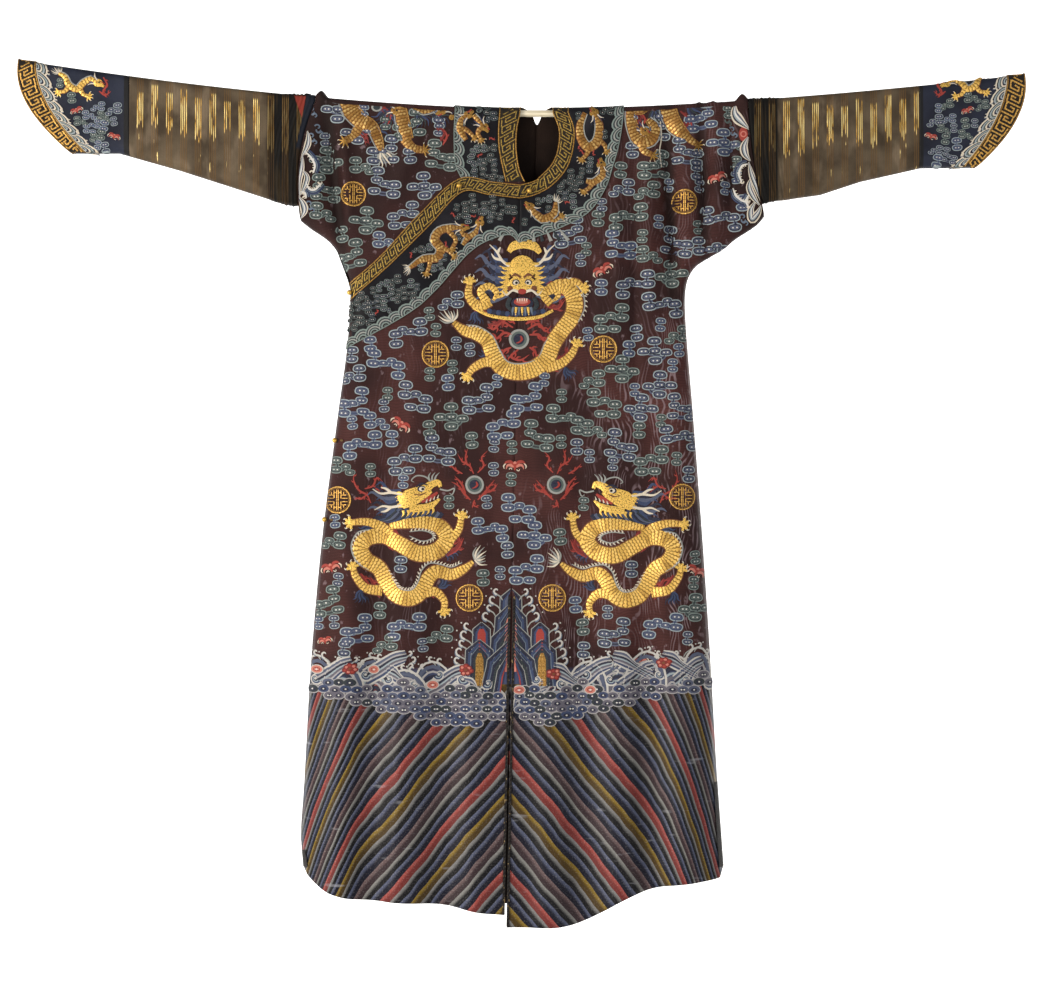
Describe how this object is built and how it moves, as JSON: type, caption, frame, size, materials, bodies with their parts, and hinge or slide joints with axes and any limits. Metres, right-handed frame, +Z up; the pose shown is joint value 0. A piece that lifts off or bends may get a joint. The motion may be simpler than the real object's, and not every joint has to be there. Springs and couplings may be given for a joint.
{
  "type": "dragon robe on a rod",
  "caption": "Long side-closing silk court robe with dragon, cloud and wave embroidery and horse-hoof cuffs, hung by both sleeves on a plain bowed rod",
  "frame": {"origin": "centre line of the rod at the middle of the neck opening, where the part is held up", "axes": "+X towards the wearer's left sleeve, +Y towards the back of the robe, +Z up"},
  "size_m": [1.7754, 0.1717, 1.5226],
  "materials": {
    "ground_silk": "brown tapestry silk with coloured and gold embroidery",
    "dark_silk": "near-black blue silk with fine embroidery",
    "gold_brocade": "gold thread fret on black, with a bright piped edge",
    "sleeve_silk": "grey-brown silk with lines of gold thread",
    "black_braid": "matt plaited braid",
    "gilt_button": "worn gilt",
    "rod_wood": "pale, satin"
  },
  "bodies": {
    "root": {"rod": "rod_wood", "front_left": "ground_silk", "front_right": "ground_silk", "overlap": "ground_silk", "back_left": "ground_silk", "back_right": "ground_silk", "facing_left": "dark_silk", "facing_right": "dark_silk", "facing_overlap": "dark_silk", "facing_back": "dark_silk", "neck_band_left": "gold_brocade", "neck_band_right": "gold_brocade", "neck_band_back": "gold_brocade", "overlap_band": "gold_brocade", "sleeve_left": "sleeve_silk", "sleeve_right": "sleeve_silk", "cuff_left": "dark_silk", "cuff_right": "dark_silk", "cuff_band_left": "gold_brocade", "cuff_band_right": "gold_brocade", "slit_braid_left": "black_braid", "slit_braid_right": "black_braid", "loop_neck": "black_braid", "loop_breast": "black_braid", "loop_armpit": "black_braid", "loop_side_1": "black_braid", "loop_side_2": "black_braid", "button_neck": "gilt_button", "button_breast": "gilt_button", "button_armpit": "gilt_button", "button_side_1": "gilt_button", "button_side_2": "gilt_button"}
  },
  "joints": []
}
